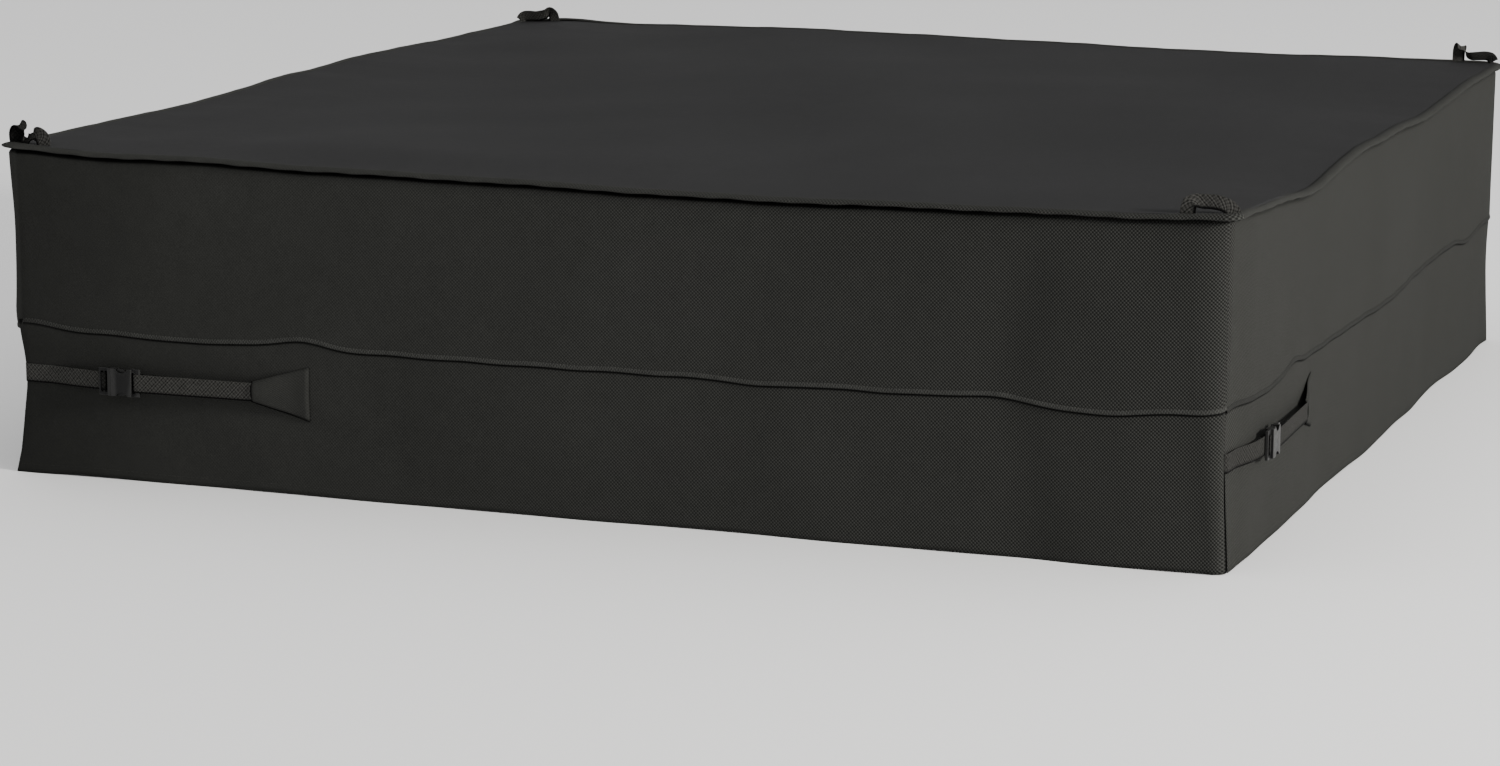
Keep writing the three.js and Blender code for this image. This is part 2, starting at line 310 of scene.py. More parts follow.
def plastic_material(name):
    """Moulded acetal: fine grain, a little scuffing, and paler edges that are partly edge wear and partly
    painted highlight.
    """
    shader = Shader(name)
    place = shader.coordinates("Object")
    grain = shader.noise(place, 1500.0, 2.0)
    scuff = shader.noise(place, 90.0, 5.0, 0.7)
    edges = shader.tree.nodes.new("ShaderNodeNewGeometry").outputs["Pointiness"]
    # Paler edges: partly edge wear, partly painted highlight.
    edge_wear_and_highlight = shader.range(edges, 0.5, 0.56, 0.0, 0.6)
    factor = shader.math("ADD", edge_wear_and_highlight, shader.range(scuff, 0.45, 0.75, 0.0, 0.15))
    return shader.surface(
        Base_Color=shader.colour(factor, PLASTIC_DARK, PLASTIC_WORN_AND_LIT),
        Roughness=shader.range(scuff, 0.3, 0.7, 0.32, 0.48),
        Specular_IOR_Level=0.12,
        Normal=shader.bump(grain, 0.06 * MM, 0.5),
    )


MATERIALS = {
    "top": cloth_material("cloth_top", tint=TOP_SHADE_TINT),
    "skirt": cloth_material("cloth_skirt"),
    "lower": cloth_material("cloth_lower", stitches=(HEM_STITCHES,)),
    "patch": cloth_material("cloth_patch"),
    "seam": seam_material("seam_threads", SEAM_THREADS),
    "welt": cloth_material("cloth_welt", tint=WELT_LIT_TINT),
    "webbing": webbing_material("webbing"),
    "plastic": plastic_material("moulded_plastic"),
}

# ---------------------------------------------------------------- the shape of the hanging cloth


def bump(x, centre, width):
    """A smooth hump of height 1."""
    return np.exp(-(((x - centre) / width) ** 2))


def ramp(x, start, end):
    """A smooth step from 0 at start to 1 at end."""
    t = np.clip((x - start) / (end - start), 0, 1)
    return t * t * (3 - 2 * t)


# Each hump is (place along the side, half width, height), in metres.
TOP_EDGE = {
    "front": [(1.30, 0.34, -0.006), (0.30, 0.18, 0.005), (0.0, 0.10, 0.010), (2.16, 0.12, 0.007)],
    "right": [(0.50, 0.22, -0.022), (1.42, 0.26, -0.013), (1.00, 0.10, -0.004), (0.0, 0.09, 0.007)],
    "back": [(1.10, 1.20, 0.006), (0.55, 0.30, -0.005), (1.50, 0.35, 0.006), (2.02, 0.10, 0.008)],
    "left": [(0.75, 0.25, 0.006), (1.45, 0.12, -0.003), (1.95, 0.20, 0.007), (1.12, 0.1, 0.003),
             (2.16, 0.09, 0.009), (1.00, 0.80, 0.007)],
}
SEAM_LEVEL = {
    "front": [(0.0, 0.08, 0.012), (0.30, 0.07, -0.004), (0.53, 0.06, 0.013), (1.36, 0.05, -0.005),
              (1.74, 0.07, 0.006), (1.92, 0.09, -0.010), (2.16, 0.05, 0.008)],
    "right": [(0.05, 0.06, 0.006), (0.40, 0.07, 0.012), (1.07, 0.20, -0.006), (1.66, 0.12, 0.005),
              (1.86, 0.08, -0.011)],
    "back": [(0.0, 0.08, 0.008), (0.50, 0.08, 0.010), (1.20, 0.20, -0.005), (1.90, 0.10, -0.006)],
    "left": [(0.0, 0.08, 0.008), (0.46, 0.09, 0.011), (0.95, 0.15, -0.006), (1.60, 0.12, 0.005)],
}
# Each fold is (place along the side, half width, depth, lean, wave), in metres.
FOLDS = {
    "front": [(0.78, 0.20, 0.003, -0.05, 0.020), (1.28, 0.16, -0.003, 0.08, 0.020),
              (1.80, 0.060, -0.0045, -0.02, 0.026), (1.97, 0.09, 0.003, 0.02, 0.012)],
    "right": [(0.62, 0.14, -0.004, 0.02, 0.015), (1.10, 0.20, 0.003, -0.06, 0.020),
              (1.52, 0.14, -0.004, 0.05, 0.015), (1.92, 0.10, 0.003, -0.03, 0.010)],
    "back": [(0.35, 0.12, -0.006, 0.05, 0.015), (0.85, 0.20, 0.005, 0.03, 0.020),
             (1.45, 0.14, -0.007, -0.05, 0.015), (1.90, 0.10, 0.005, 0.02, 0.010)],
    "left": [(0.30, 0.10, 0.004, 0.04, 0.010), (0.72, 0.16, -0.006, -0.04, 0.020),
             (1.25, 0.14, 0.005, 0.05, 0.018), (1.72, 0.12, -0.007, 0.03, 0.015)],
}


def humps(table, side, run):
    return sum(height * bump(run, place, width) for place, width, height in table[side])


def ripple(run, level, turn):
    """Small irregular buckling that grows towards the hem."""
    phase = 1.7 * turn
    fine = np.sin(run * 31 + phase + 2.2 * np.sin(level * 7 + phase))
    broad = np.sin(run * 13.7 + 2 * phase + 1.6 * np.sin(level * 9 - phase))
    slack = 0.35 + 0.65 * ramp(TOP - level, 0.02, 0.30)
    return slack * (0.0004 * fine + 0.0012 * broad)


# At some corners the panel's free edge laps over the corner strip. Each row is (level, distance of
# the edge from the corner) in millimetres.
FLAP_EDGE = {
    "front": [(0, -5), (40, 4), (110, 10), (150, 14), (176, 15), (200, 13), (235, 11), (300, 8)],
}

# How the cloth goes round the right-hand corner of each side. Each row is (level, length of the
# bend along this side, along the next side, how far in the next side starts), in millimetres.
CORNERS = {
    "front": [(0, 24, 18.5, 4), (120, 28, 18.5, 11), (175, 30, 18.5, 12.5), (262, 40, 22, 12.5),
              (330, 58, 28, 10), (490, 56, 28, 9), (562, 50, 26, 7)],
    "right": [(0, 30, 30, -2), (175, 40, 40, 4), (300, 36, 36, 1), (562, 28, 28, 0)],
    "back": [(0, 30, 30, -3), (175, 40, 40, 5), (300, 36, 36, 1), (562, 28, 28, 0)],
    "left": [(0, 22, 22, -5), (45, 22, 22, -1), (100, 24, 24, 4), (175, 24, 24, 8.5),
             (225, 24, 24, 4), (262, 24, 24, -6), (350, 23, 23, -3), (450, 21, 21, -2),
             (530, 19, 19, -5.5), (562, 19, 19, -7)],
}
# How far along the next side the pull on a corner is felt.
CORNER_EASE = {"front": 130 * MM, "right": 100 * MM, "back": 100 * MM, "left": 200 * MM}
LEVELS = np.linspace(0, TOP, 57)
EASED_LEVELS = 7  # how many of them a corner's rows are averaged over


def corner_at(side, level):
    """Lengths and inset of a side's right-hand corner at a level, eased between the rows."""
    rows = np.array(CORNERS[side]) * MM
    eased = []
    for column in (1, 2, 3):
        steps = np.interp(LEVELS, rows[:, 0], rows[:, column])
        steps = np.pad(steps, EASED_LEVELS // 2, mode="edge")
        steps = np.convolve(steps, np.ones(EASED_LEVELS) / EASED_LEVELS, mode="valid")
        eased.append(np.interp(level, LEVELS, steps))
    return eased


def rounding(run, length, depth, inset):
    """How far in from the skirt's own outline the cloth lies as it goes round the right-hand corner:
    on a quarter ellipse that starts along this side's face and ends inset from the next side's."""
    lead = length + inset - CORNER_RADIUS
    extra = depth - CORNER_RADIUS
    past = np.clip(run - STRAIGHT + lead, 0, lead)
    flat = depth * (1 - np.sqrt(1 - (past / length) ** 2))
    angle = np.clip((run - STRAIGHT) / CORNER_RADIUS, 0, math.pi / 2)
    sine, cosine = np.sin(angle), np.cos(angle)
    # Where the ray at this angle from the outline's own centre meets the ellipse.
    square = (sine / length) ** 2 + (cosine / depth) ** 2
    linear = lead * sine / length ** 2 + extra * cosine / depth ** 2
    constant = (lead / length) ** 2 + (extra / depth) ** 2 - 1
    reach = (np.sqrt(linear ** 2 - square * constant) - linear) / square
    return np.where(run > STRAIGHT, CORNER_RADIUS - reach, flat)


def wall_out(side, run, level):
    """How far the cloth stands out from the skirt's face, in metres."""
    turn = SIDES.index(side)
    next_side = SIDES[(turn + 1) % 4]
    drop = TOP - level
    out = np.zeros_like(run + level)
    for place, width, depth, lean, wave in FOLDS[side]:
        centre = place + lean * (drop / TOP - 0.5) + wave * np.sin(drop * 9 + place * 5)
        out = out + depth * ramp(drop, 0.0, 0.16) * bump(run, centre, width)
    ends = ramp(run, 0.0, 0.12) * (1 - ramp(run, SIDE_RUN - 0.10, SIDE_RUN - 0.02))
    out = out * ends + ripple(run, level, turn) * ends
    # The right-hand corner, and the start of this side, where it comes off the corner before it.
    length, depth, inset = corner_at(side, level)
    swing = 0 if side == "front" else inset * ramp(run, STRAIGHT - 0.07, STRAIGHT)
    around = np.cos(np.clip((run - STRAIGHT) / CORNER_RADIUS, 0, math.pi / 2))
    out = out - rounding(run, length, depth, inset) - swing * around
    before = SIDES[turn - 1]
    length, depth, inset = corner_at(before, level)
    past = np.clip(depth - CORNER_RADIUS - np.maximum(run, 0), 0, None)
    drawn_in = inset * (1 - ramp(run, 0.0, CORNER_EASE[before]))
    out = out - length * (1 - np.sqrt(1 - (past / depth) ** 2)) - drawn_in
    if next_side in FLAP_EDGE:
        out = out - 0.008 * ramp(run, STRAIGHT - 0.07, STRAIGHT) * ramp(SEAM - level, 0.0, 0.03)
    # Taut cloth under the strap, and small puckers that run from the patch.
    pucker = bump(run, PATCH_START + 0.06, 0.10) * bump(level, STRAP, 0.09)
    out = out - 0.002 * bump(run, 0.33, 0.13) * bump(level, STRAP, 0.05)
    out = out + 0.0012 * pucker * np.sin((run - PATCH_START) * 20 + (level - STRAP) * 52)
    return out + 0.001 * bump(level, SEAM, 0.03)


def front_left_painted_shade(side, run, level):
    """Painted shade: how much darker the cloth is painted, deepest at the front's left-hand end, near the
    hem, where the light falls off.
    """
    if side != "front":
        return 0 * (run + level)
    low = 0.14 * (1 - ramp(level, 0.05, 0.30)) * (1 - ramp(run, 0.0, 0.30))
    return 0.30 * (1 - ramp(run, -0.06, 0.42)) + low


def seam_level(side, run):
    return SEAM + humps(SEAM_LEVEL, side, run) + 0.0007 * np.sin(run * 47 + SIDES.index(side))


def top_edge(side, run):
    """Level of the top edge."""
    fine = 0.0006 * np.sin(run * 21 + SIDES.index(side)) + 0.0003 * np.sin(run * 53 + 1.3)
    ends = ramp(run, 0.03, 0.15) * (1 - ramp(run, SIDE_RUN - 0.15, SIDE_RUN - 0.03))
    return TOP + humps(TOP_EDGE, side, run) + fine * ends


def turned(side, points):
    """Points of the front side's own frame, turned to another side."""
    angle = SIDES.index(side) * math.pi / 2
    c, s = round(math.cos(angle)), round(math.sin(angle))
    x, y = points[..., 0], points[..., 1]
    return np.stack([c * x - s * y, s * x + c * y, points[..., 2]], axis=-1)


def on_wall(side, run, level, out):
    """Points out from a side's face: run is the distance along the perimeter from the left-hand
    end of the straight stretch, which starts one corner radius in from the corner."""
    run, level, out = np.broadcast_arrays(run, level, out)
    angle = np.clip((run - STRAIGHT) / CORNER_RADIUS, 0, math.pi / 2)
    past = np.clip(run - STRAIGHT - ARC, 0, None)
    centre = HALF - CORNER_RADIUS
    radius = np.maximum(CORNER_RADIUS + out, TIGHTEST_BEND)
    x = -centre + np.minimum(run, STRAIGHT) + radius * np.sin(angle)
    y = -centre - radius * np.cos(angle) + past
    return turned(side, np.stack([x, y, level], axis=-1))


# ---------------------------------------------------------------- mesh helpers


def link(obj):
    bpy.context.scene.collection.objects.link(obj)
    return obj


def grid_mesh(name, points, u, v, material, closed_u=False, closed_v=False, shade=None):
    """A quad mesh over a grid of points, with u and v as metres along the cloth. shade is how much
    painted shade is mixed into the colour, up to 1 for the darkest."""
    rows, columns = points.shape[:2]
    row_count = rows if closed_v else rows - 1
    column_count = columns if closed_u else columns - 1
    i, j = np.meshgrid(np.arange(row_count), np.arange(column_count), indexing="ij")
    i, j = i.ravel(), j.ravel()
    i2, j2 = (i + 1) % rows, (j + 1) % columns
    faces = np.stack([i * columns + j, i * columns + j2, i2 * columns + j2, i2 * columns + j], axis=1)
    mesh = bpy.data.meshes.new(name)
    mesh.vertices.add(rows * columns)
    mesh.vertices.foreach_set("co", points.reshape(-1).astype(np.float32))
    mesh.loops.add(faces.size)
    mesh.loops.foreach_set("vertex_index", faces.ravel().astype(np.int32))
    mesh.polygons.add(len(faces))
    mesh.polygons.foreach_set("loop_start", np.arange(0, faces.size, 4, dtype=np.int32))
    mesh.update(calc_edges=True)
    u_wrap, v_wrap = 2 * u[-1] - u[-2], 2 * v[-1] - v[-2]
    u_all = np.append(u, u_wrap)
    v_all = np.append(v, v_wrap)
    uv = np.stack([
        np.stack([u_all[j], v_all[i]], 1), np.stack([u_all[j + 1], v_all[i]], 1),
        np.stack([u_all[j + 1], v_all[i + 1]], 1), np.stack([u_all[j], v_all[i + 1]], 1),
    ], axis=1)
    layer = mesh.uv_layers.new(name="UVMap")
    layer.data.foreach_set("uv", uv.reshape(-1).astype(np.float32))
    mesh.polygons.foreach_set("use_smooth", np.ones(len(faces), dtype=bool))
    # the shade attribute carries painted shade into the materials
    if shade is not None:
        attribute = mesh.attributes.new("shade", "FLOAT", "POINT")
        values = np.broadcast_to(shade, (rows, columns)).ravel().astype(np.float32)
        attribute.data.foreach_set("value", values)
    mesh.materials.append(material)
    return link(bpy.data.objects.new(name, mesh))


def line_lengths(line):
    """Metres along a line of points, from the first of them."""
    return np.concatenate([[0], np.cumsum(np.linalg.norm(np.diff(line, axis=0), axis=1))])


def row_lengths(points):
    """Metres along the middle row of a grid of points."""
    return line_lengths(points[len(points) // 2])


def section_lengths(section):
    """Metres along a section, whose points start with (out, up) in millimetres."""
    steps = [math.dist(p[:2], q[:2]) for p, q in zip(section, section[1:])]
    return np.cumsum([0] + steps) * MM


def solidify(obj, thickness, offset=-1.0):
    modifier = obj.modifiers.new("thickness", "SOLIDIFY")
    modifier.thickness = thickness
    modifier.offset = offset
    modifier.use_even_offset = False
    return obj


def stretch_steps(start, end, step):
    return np.linspace(start, end, max(2, int(round((end - start) / step)) + 1))


CELL = 9 * MM
ROWS = 32
EDGE_STEP = 4 * MM
NEAR_BEND_STEP = 5 * MM
BEND_STEP = 3.5 * MM


def smooth_line(points, step):
    """A Catmull-Rom curve through the points, resampled at equal steps."""
    points = np.asarray(points, float)
    padded = np.vstack([2 * points[0] - points[1], points, 2 * points[-1] - points[-2]])
    dense = []
    for k in range(1, len(padded) - 2):
        p0, p1, p2, p3 = padded[k - 1:k + 3]
        for t in np.linspace(0, 1, 12, endpoint=False):
            dense.append(0.5 * (2 * p1 + (p2 - p0) * t + (2 * p0 - 5 * p1 + 4 * p2 - p3) * t ** 2
                                + (3 * p1 - p0 - 3 * p2 + p3) * t ** 3))
    dense.append(padded[-2])
    dense = np.array(dense)
    lengths = line_lengths(dense)
    places = stretch_steps(0, lengths[-1], step)
    return np.stack([np.interp(places, lengths, dense[:, axis]) for axis in range(dense.shape[1])], 1)


LOWER_EDGE_SHADOW = 3.8 * MM  # width of the painted shadow along the webbing's lower selvedge
# A quarter of the section of webbing, in shares of its half width and half thickness.
WEBBING_SECTION = [
    (1.0, 0.0), (0.985, 0.75), (0.94, 1.1), (0.86, 1.0), (0.78, 0.95), (0.55, 0.92), (0.2, 0.9),
]


def ribbon(name, path, widths, width, thickness, material, step, painted_shade, selvedge=LOWER_EDGE_SHADOW):
    """Flat webbing along a path. widths are the directions across it, one for each path point; the
    argument after step is the painted shade at each of them, up to 1 inside a slot."""
    points = np.hstack([np.array(path, float), np.array(widths, float), np.array(painted_shade, float)[:, None]])
    joined = smooth_line(points, step)
    line, across, painted_shade = joined[:, :3], joined[:, 3:6], joined[:, 6]
    tangent = np.gradient(line, axis=0)
    tangent /= np.linalg.norm(tangent, axis=1, keepdims=True)
    across = across - (across * tangent).sum(1, keepdims=True) * tangent
    across /= np.linalg.norm(across, axis=1, keepdims=True)
    normal = np.cross(tangent, across)
    # The section: flat faces, with rounded, slightly fuller selvedges.
    half, face = width / 2, thickness / 2
    outline = WEBBING_SECTION + [(-a, b) for a, b in reversed(WEBBING_SECTION)]
    outline += [(a, -b) for a, b in reversed(outline[1:-1])]
    a = np.array([p[0] for p in outline]) * half
    b = np.array([p[1] for p in outline]) * face
    grid = line[None] + a[:, None, None] * across[None] + b[:, None, None] * normal[None]
    # Painted shadow over the last stretch of the lower selvedge, plus the painted shade given for each
    # path point.
    shade = np.clip((-a - half + selvedge) / (0.3 * selvedge), 0, 1)[:, None]
    shade = np.clip(shade + painted_shade[None], 0, 1)
    return capped(grid_mesh(name, grid, line_lengths(line), a, material, closed_v=True, shade=shade))


def capped(obj):
    """Closes the open ends of a swept mesh."""
    mesh = bmesh.new()
    mesh.from_mesh(obj.data)
    mesh.normal_update()
    edges = [edge for edge in mesh.edges if edge.is_boundary]
    bmesh.ops.holes_fill(mesh, edges=edges)
    bmesh.ops.recalc_face_normals(mesh, faces=mesh.faces)
    mesh.to_mesh(obj.data)
    mesh.free()
    return obj


# ---------------------------------------------------------------- the cloth shell


TOP_REACH = HALF + 2 * MM  # the sheet is sewn into the welt
TOP_RADIUS = 12 * MM
TOP_SINK = 0.4 * MM
TOP_CROWN = 4 * MM
TOP_EASE = 0.22  # how far in from the edge the slack is at its full height


def make_top():
    """One continuous sheet from welt to welt, with slack hollows and ridges."""
    ticks = stretch_steps(-TOP_REACH, TOP_REACH, CELL)
    x, y = np.meshgrid(ticks, ticks)
    over_x = np.clip(np.abs(x) - (TOP_REACH - TOP_RADIUS), 0, None)
    over_y = np.clip(np.abs(y) - (TOP_REACH - TOP_RADIUS), 0, None)
    over = np.maximum(np.hypot(over_x, over_y), TOP_RADIUS)
    shrink = TOP_RADIUS / over
    x = np.sign(x) * (np.abs(x) - over_x + over_x * shrink)
    y = np.sign(y) * (np.abs(y) - over_y + over_y * shrink)
    corner = HALF - CORNER_RADIUS
    runs = {"front": x + corner, "right": y + corner, "back": -x + corner, "left": -y + corner}
    gaps = {"front": y + HALF, "right": HALF - x, "back": HALF - y, "left": x + HALF}
    z = np.full_like(x, TOP - TOP_SINK)
    total, weights = 0, 0
    for side in SIDES:
        reach_in = 0.16 + 0.05 * np.sin(runs[side] * 4 + SIDES.index(side))
        weight = np.exp(-(np.clip(gaps[side], 0, None) / reach_in) ** 1.5)
        total += weight * (top_edge(side, runs[side]) - TOP)
        weights += weight
    z += total / np.maximum(weights, 1)
    edge = np.minimum.reduce([gaps[side] for side in SIDES])
    inside = ramp(edge, 0.0, TOP_EASE)
    slack = (
        0.0042 * np.sin(2.3 * x + 3.9 * y + 0.6)
        + 0.0034 * np.sin(5.1 * x - 2.2 * y + 1.9 + 0.8 * np.sin(3 * y))
        + 0.0020 * np.sin(8.3 * x + 5.7 * y + 2.0 * np.sin(2.4 * x))
        + 0.0010 * np.sin(17 * x - 12 * y + 2.2 * np.sin(5.2 * x + 2.6 * y))
    )
    z += inside * slack + TOP_CROWN * inside
    z -= 0.008 * bump(x, 0.62, 0.26) * bump(y, -0.35, 0.34)
    points = np.stack([x, y, z], axis=-1)
    obj = grid_mesh("top_sheet", points, ticks, ticks, MATERIALS["top"])
    solidify(obj, CLOTH)
    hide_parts("top_panel")
    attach(obj, "cover")


WELT_RADIUS = 16 * MM
WELT_STEP = 6 * MM
FLARE_REACH = 45 * MM  # how far from a corner the welt flares


def welt_line(step):
    """Round the top edge: positions in plan, the outward direction and the level."""
    centre = HALF - WELT_RADIUS
    x = stretch_steps(-centre, centre, step)[:-1]
    arc = np.linspace(0, math.pi / 2, 9)[:-1]
    lines, outs = [], []
    for side in SIDES:
        along = np.stack([x, np.full_like(x, -HALF), top_edge(side, x + HALF - CORNER_RADIUS)], 1)
        level = top_edge(side, np.full_like(arc, SIDE_RUN - 20 * MM))
        round_x = centre + WELT_RADIUS * np.sin(arc)
        round_y = -centre - WELT_RADIUS * np.cos(arc)
        bend = np.stack([round_x, round_y, level], 1)
        away = np.stack([np.zeros_like(x), -np.ones_like(x), np.zeros_like(x)], 1)
        turn = np.stack([np.sin(arc), -np.cos(arc), np.zeros_like(arc)], 1)
        lines.append(turned(side, np.vstack([along, bend])))
        outs.append(turned(side, np.vstack([away, turn])))
    line, out = np.vstack(lines), np.vstack(outs)
    # The four sides meet at each corner, so the level there is eased.
    level = line[:, 2]
    kernel = np.ones(9) / 9
    wrapped = np.concatenate([level[-4:], level, level[:4]])
    line[:, 2] = np.convolve(wrapped, kernel, mode="valid")
    return line, out


# The section of the welt as (out, up, shade): out and up in millimetres from the skirt's face and the
# top, shade the painted shade on the welt's underside.
WELT_SECTION = [
    (-9.0, 0.2, 0), (-4.0, 1.2, 0), (0.5, 1.5, 0), (4.0, 0.6, 0), (6.6, -1.2, 0), (8.4, -3.4, 0),
    (9.0, -5.4, 0), (8.6, -6.8, 0.6), (7.4, -7.2, 1), (3.5, -6.6, 1), (-1.0, -6.0, 1),
    (-6.5, -6.0, 1), (-9.0, -3.0, 1),
]


def make_welt():
    """The raised flange round the top edge: a folded seam that stands proud and flares at corners."""
    line, out = welt_line(WELT_STEP)
    lengths = line_lengths(line)
    corner = np.abs(np.abs(line[:, 0]) - np.abs(line[:, 1]))
    flare = np.exp(-(corner / FLARE_REACH) ** 2)
    # The front's left-hand corner ends in a thin point.
    drawn_out = (line[:, 0] < 0) & (line[:, 1] < 0)
    wobble = 0.05 * np.sin(lengths * 61) + 0.04 * np.sin(lengths * 147 + 2)
    reach = (1.0 + flare * np.where(drawn_out, 1.2, 0.36) + wobble) * MM
    thick = (1.0 + flare * np.where(drawn_out, -0.3, 0.2) + 0.08 * np.sin(lengths * 89 + 1.0)) * MM
    a, b, shade = (np.array(column)[:, None] for column in zip(*WELT_SECTION))
    up = np.array([0.0, 0.0, 1.0])
    grid = line[None] + (a * reach[None])[..., None] * out[None] + (b * thick[None])[..., None] * up
    obj = grid_mesh("top_welt_band", grid, lengths, section_lengths(WELT_SECTION), MATERIALS["welt"],
                    closed_u=True, closed_v=True, shade=shade)
    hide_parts("top_welt")
    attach(obj, "cover")


GROOVE_DEPTH = 9 * MM  # the skirt is tucked back under the welt
GROOVE_DROP = 17 * MM


def groove(side, run, drop):
    """The tuck under the welt and the painted shade in it; the painted shade is weaker where the key
    light reaches in.
    """
    painted_shade_share = {"front": 1 - 0.65 * ramp(run, 1.55, 2.1), "right": 0.25}.get(side, 0.7)
    tuck = -GROOVE_DEPTH * (1 - ramp(drop, 4 * MM, GROOVE_DROP))
    return tuck, painted_shade_share * (1 - ramp(drop, 0.7 * GROOVE_DROP, 0.95 * GROOVE_DROP))


def bend_runs(start, cell):
    """Steps along a side from start, finer round the corner."""
    bend = STRAIGHT - 55 * MM
    return np.concatenate([
        stretch_steps(start, bend, cell)[:-1],
        stretch_steps(bend, STRAIGHT, NEAR_BEND_STEP)[:-1],
        stretch_steps(STRAIGHT, SIDE_RUN, BEND_STEP),
    ])


GROOVE_ROWS = [0, 3, 6, 9, 12, 15, 18, 22, 28]  # millimetres down from the skirt's upper edge


def make_upper_skirt():
    """One band of cloth round all four sides, from under the welt to the lapped seam."""
    runs = bend_runs(0, CELL)[:-1]
    groove_shares = np.array(GROOVE_ROWS) * MM / (TOP - SEAM)
    wall_shares = np.linspace(groove_shares[-1], 1, ROWS)[1:]
    shares = np.concatenate([groove_shares, wall_shares])[:, None]
    blocks, shades = [], []
    for side in SIDES:
        edge = top_edge(side, runs)[None]
        high = edge - 4 * MM
        low = seam_level(side, runs)[None] - 2 * MM
        level = high + (low - high) * shares
        tuck, shade = groove(side, runs[None], edge - level)
        # the painted shade at the front's left-hand end, on top of the tuck's painted shade
        shade = np.maximum(shade, front_left_painted_shade(side, runs[None], level))
        blocks.append(on_wall(side, runs[None], level, wall_out(side, runs[None], level) + tuck))
        shades.append(shade)
    points = np.concatenate(blocks, axis=1)
    drop = (TOP - SEAM) * shares[:, 0]
    obj = grid_mesh("upper_skirt_sheet", points, row_lengths(points), drop, MATERIALS["skirt"],
                    closed_u=True, shade=np.concatenate(shades, axis=1))
    solidify(obj, CLOTH, 1.0)
    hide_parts(*[f"upper_skirt_{side}" for side in SIDES])
    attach(obj, "cover")


def slit_shift(level, strength):
    """How far the slit's edges stand apart at a level."""
    return strength * ramp(SLIT_TOP - level, 0.0, 0.05)


def flap_edge(side, level):
    """Where a lower panel's free edge runs, from the start of the side's straight stretch."""
    if side not in FLAP_EDGE:
        return slit_shift(level, SLIT_WIDTH * 1.5)
    levels, places = np.array(FLAP_EDGE[side]).T * MM
    return np.interp(level, levels, places) - CORNER_RADIUS


FREE_EDGE = 60 * MM  # the stretch by a panel's free edge that shifts with the slit
LAP_ROWS = [0, 3, 5.5, 7.5, 9.5, 13]  # millimetres down from the panel's upper edge
FLAP_LIFT = 2.2 * MM


def make_lower_skirts():
    """One panel on each side, from the lapped seam to the hem, with a free edge beside the slit."""
    for side in SIDES:
        edge_run = stretch_steps(0, FREE_EDGE, EDGE_STEP)[:-1]
        base = np.concatenate([edge_run, bend_runs(FREE_EDGE, CELL)])
        lap = np.array(LAP_ROWS) * MM / SEAM
        shares = np.concatenate([lap, np.linspace(lap[-1], 1, ROWS)[1:]])[:, None]
        high = seam_level(side, base)[None] + 2 * MM
        hem = 0.0012 * (1 + np.sin(base * 16 + SIDES.index(side))) * ramp(base, 0.02, 0.1)
        level = high + (hem[None] - high) * shares
        run = base[None] + flap_edge(side, level) * (1 - ramp(base[None], 0.0, FREE_EDGE))
        out = wall_out(side, run, level) - 1.4 * MM
        if side in FLAP_EDGE:
            out = out + FLAP_LIFT * (1 - ramp(base[None], 0.02, 0.10))
        for panel_end in (0.0, SIDE_RUN):
            out = out - 0.8 * MM * bump(base[None], panel_end, 4 * MM)
        points = on_wall(side, run, level, out)
        drop = SEAM * (1 - shares[:, 0])
        # Painted shade: a dark line under the lapped seam, the panel's last few millimetres beside the
        # slit below the strap, and the front's left-hand end.
        shade = 0.85 * (1 - ramp(high - level, 7.2 * MM, 9.2 * MM))
        painted_slit_shade = ramp(base[None], SIDE_RUN - 10 * MM, SIDE_RUN - 6 * MM) * (level < SLIT_TOP)
        shade = np.maximum(np.maximum(shade, painted_slit_shade), front_left_painted_shade(side, run, level))
        obj = grid_mesh(f"lower_skirt_sheet_{side}", points, row_lengths(points), drop,
                        MATERIALS["lower"], shade=shade)
        solidify(obj, CLOTH, 1.0)
        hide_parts(f"lower_skirt_{side}")
        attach(obj, "cover")


# The section of the lapped seam as (out, up, shade): out and up in millimetres from the skirt's face,
# shade the painted shade under the band's lip.
LAP_SECTION = [
    (-0.4, 5.6, 0), (0.5, 4.2, 0), (1.1, 2.4, 0), (1.4, 0.6, 0), (1.5, -1.2, 0), (1.3, -2.4, 0.3),
    (0.8, -3.2, 1), (-0.3, -3.6, 1), (-1.3, -3.0, 1), (-1.3, 3.4, 0),
]
LAP_SHADE = {"right": 0.5}  # painted shade: the band is painted darker on this side, and on the others takes the painted shade of the front's left-hand end


def make_lap_seam():
    """A puckered band where the upper tier laps over the lower one."""
    flat = stretch_steps(0, STRAIGHT, NEAR_BEND_STEP)[:-1]
    runs = np.concatenate([flat, stretch_steps(STRAIGHT, SIDE_RUN, BEND_STEP)])[:-1]
    section_shade = np.array([point[2] for point in LAP_SECTION])[:, None]
    blocks, shades = [], []
    for turn, side in enumerate(SIDES):
        level = seam_level(side, runs)
        pucker = 1 + 0.09 * np.sin(runs * 260 + 2 * np.sin(runs * 37)) + 0.07 * np.sin(runs * 97 + turn)
        rows = []
        for out_mm, up_mm, _ in LAP_SECTION:
            rise = level + up_mm * MM * (1 + 0.04 * np.sin(runs * 83 + up_mm))
            out = wall_out(side, runs, rise) + out_mm * MM * pucker
            rows.append(on_wall(side, runs, rise, out))
        blocks.append(np.stack(rows))
        side_shade = LAP_SHADE.get(side, front_left_painted_shade(side, runs, level))
        shades.append(np.maximum(section_shade, side_shade) + 0 * runs)
    points = np.concatenate(blocks, axis=1)
    obj = grid_mesh("lap_seam_band", points, row_lengths(points), section_lengths(LAP_SECTION),
                    MATERIALS["seam"], closed_u=True, closed_v=True, shade=np.concatenate(shades, axis=1))
    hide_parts(*[f"lap_seam_{side}" for side in SIDES])
    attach(obj, "cover")


